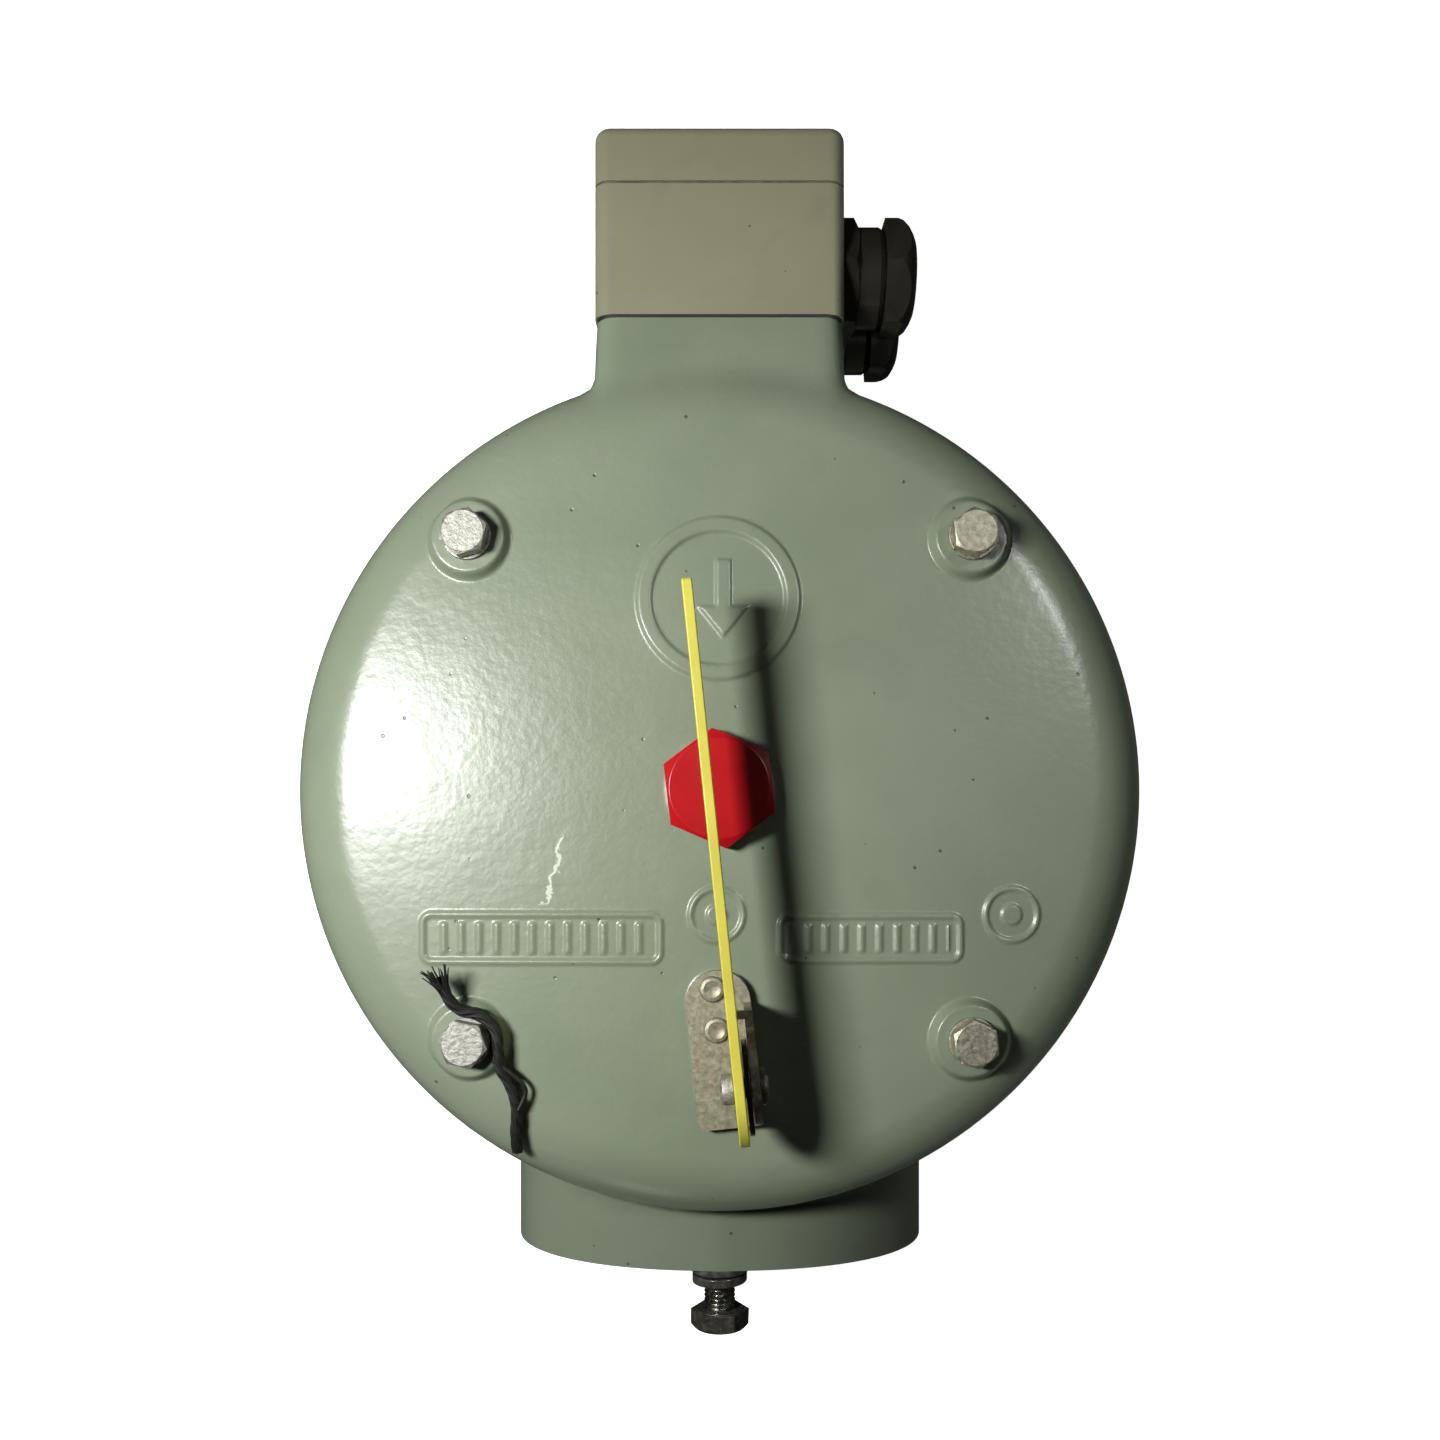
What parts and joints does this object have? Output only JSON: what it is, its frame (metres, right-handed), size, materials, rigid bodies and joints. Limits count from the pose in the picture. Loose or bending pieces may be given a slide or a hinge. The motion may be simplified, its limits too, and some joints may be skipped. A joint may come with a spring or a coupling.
{
  "type": "transformer pressure relief device",
  "caption": "Spring-loaded relief valve for an oil-filled transformer, with a round cast hood, a discharge nozzle, a switch box, a signal pin and a swinging signal arm.",
  "frame": {"origin": "centre of the tank flange's underside, over the valve's bore", "axes": "+Z along the valve's axis out of the tank towards the cover, +Y towards the switch box, -Y out of the discharge nozzle"},
  "size_m": [0.272, 0.3914, 0.194],
  "materials": {
    "cast_paint": "glossy grey-green paint on a sand casting",
    "box_paint": "glossy grey-beige paint",
    "zinc_plate": "dull zinc plating",
    "steel": "weathered bare steel",
    "aluminium": "mill finish, oxidised",
    "brass": "turned",
    "rubber": "matte",
    "nylon": "moulded, slightly glossy",
    "red_plastic": "moulded, glossy",
    "yellow_paint": "glossy paint",
    "cream_plastic": "moulded"
  },
  "bodies": {
    "housing": {"base_flange": "cast_paint", "hood": "cast_paint", "terminal_box": "box_paint", "terminal_box_lid": "box_paint", "spring_bridge": "zinc_plate", "column_1": "zinc_plate", "column_2": "zinc_plate", "column_3": "zinc_plate", "column_4": "zinc_plate", "standoff_1": "zinc_plate", "standoff_2": "zinc_plate", "standoff_3": "zinc_plate", "standoff_4": "zinc_plate", "hood_bolt_1": "zinc_plate", "hood_bolt_2": "zinc_plate", "hood_bolt_3": "zinc_plate", "hood_bolt_4": "zinc_plate", "spring_washer_1": "zinc_plate", "spring_washer_2": "zinc_plate", "spring_washer_3": "zinc_plate", "spring_washer_4": "zinc_plate", "lid_screw_1": "zinc_plate", "lid_screw_2": "zinc_plate", "lid_screw_3": "zinc_plate", "lid_screw_4": "zinc_plate", "switch_bracket": "zinc_plate", "hinge_pin": "zinc_plate", "earth_flat_washer": "zinc_plate", "outer_spring": "steel", "inner_spring": "steel", "hinge_clip": "steel", "earth_screw": "steel", "earth_spring_washer": "steel", "arm_bracket": "aluminium", "bracket_rivet_1": "aluminium", "bracket_rivet_2": "aluminium", "pin_guide_bush": "brass", "tank_gasket": "rubber", "seat_gasket": "rubber", "side_seal": "rubber", "hood_gasket": "rubber", "pin_oring": "rubber", "box_gasket": "rubber", "lid_gasket": "rubber", "gland_plug_1": "rubber", "gland_plug_2": "rubber", "bolt_tie": "rubber", "gland_body_1": "nylon", "gland_nut_1": "nylon", "gland_body_2": "nylon", "gland_nut_2": "nylon", "limit_switch": "nylon", "friction_disc": "nylon", "terminal_block": "cream_plastic"},
    "valve": {"valve_disc": "aluminium"},
    "indicator": {"signal_pin": "steel", "indicator_cap": "red_plastic"},
    "arm": {"signal_arm": "yellow_paint"},
    "switch_lever": {"switch_lever": "steel"}
  },
  "joints": [
    {"name": "valve_lift", "type": "slide", "parent": "housing", "child": "valve", "axis": [0, 0, 1], "range_m": [0, 0.02], "stiffness_N_per_m": 20000, "springref_m": -0.033, "deforming": ["outer_spring", "inner_spring"]},
    {"name": "signal_pin_lift", "type": "slide", "parent": "housing", "child": "indicator", "axis": [0, 0, 1], "range_m": [0, 0.02]},
    {"name": "signal_arm_swing", "type": "hinge", "parent": "housing", "child": "arm", "pos_m": [0.00177, -0.08846, 0.1762], "axis": [0.9947, 0.1028, 0], "range_deg": [0, 90]},
    {"name": "switch_lever_swing", "type": "hinge", "parent": "housing", "child": "switch_lever", "pos_m": [0, 0.12, 0.064], "axis": [-1, 0, 0], "range_deg": [0, 24]}
  ],
  "couplings": [
    {"joint": "signal_pin_lift", "follows": "valve_lift", "ratio": 1},
    {"joint": "signal_arm_swing", "follows": "valve_lift", "rad_per_m": 78.5},
    {"joint": "switch_lever_swing", "follows": "valve_lift", "rad_per_m": 19.6}
  ]
}
